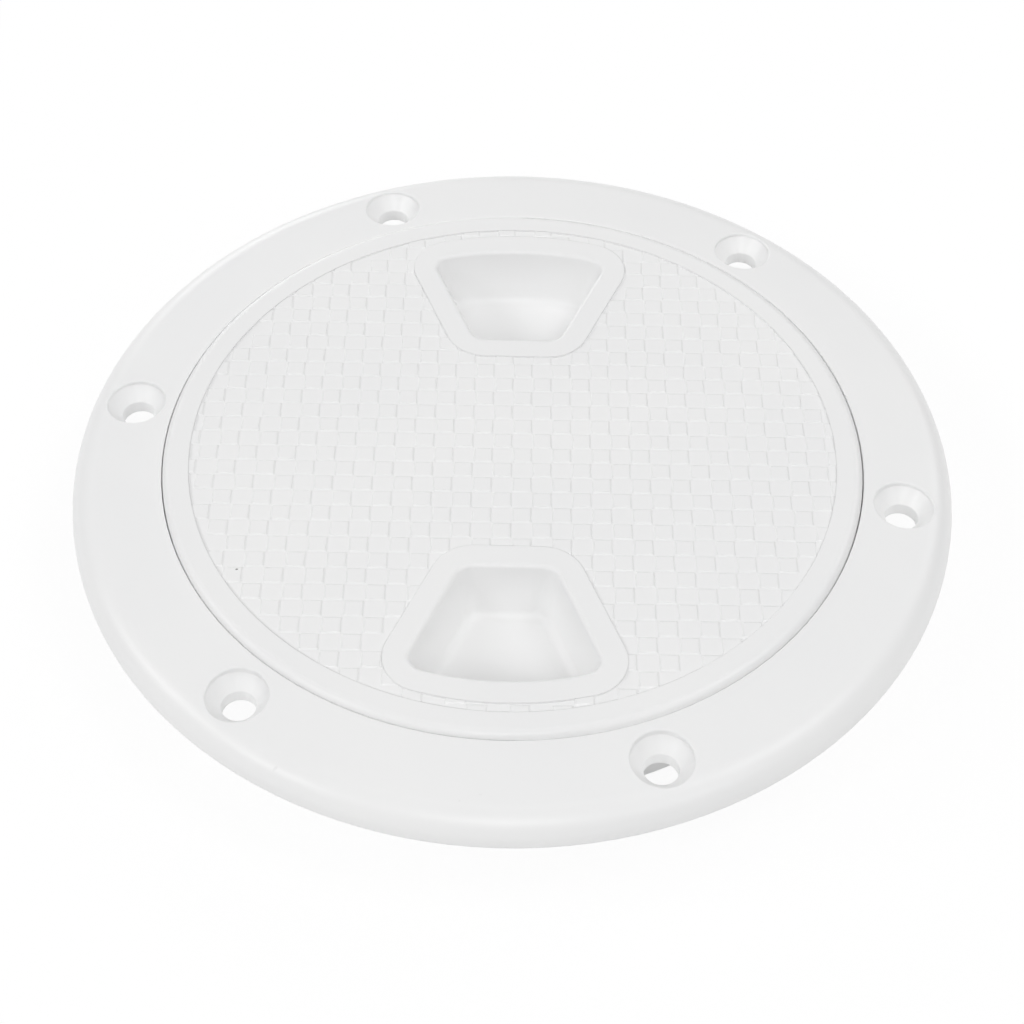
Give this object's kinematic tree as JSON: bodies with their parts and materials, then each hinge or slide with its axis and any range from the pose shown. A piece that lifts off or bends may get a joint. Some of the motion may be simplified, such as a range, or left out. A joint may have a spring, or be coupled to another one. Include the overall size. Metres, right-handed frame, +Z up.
{
  "type": "deck inspection plate",
  "caption": "Round screw-out deck plate: flanged ring with countersunk holes and a threaded collar, and a checkered lid with finger pockets and a rubber seal.",
  "frame": {"origin": "centre of the screw-hole circle in the plane of the deck, which is the flange's underside", "axes": "+Z up out of the deck, along the axis of the ring and lid; Y through the middles of the two finger pockets"},
  "size_m": [0.1444, 0.1444, 0.0191],
  "materials": {
    "ring_plastic": "white moulded plastic, satin gloss",
    "lid_plastic": "white moulded plastic, satin gloss",
    "seal_rubber": "smooth black rubber"
  },
  "bodies": {
    "ring": {"deck_ring": "ring_plastic"},
    "seal": {"lid_seal": "seal_rubber"},
    "lid": {"screw_lid": "lid_plastic"}
  },
  "joints": [
    {"name": "lid_rise", "type": "slide", "parent": "ring", "child": "seal", "axis": [0, 0, 1], "range_m": [0, 0.0084]},
    {"name": "lid_turn", "type": "hinge", "parent": "seal", "child": "lid", "pos_m": [0, 0, 0], "axis": [0, 0, 1], "range_deg": [0, 945]}
  ],
  "couplings": [
    {"joint": "lid_rise", "follows": "lid_turn", "m_per_rad": 0.0005093}
  ]
}
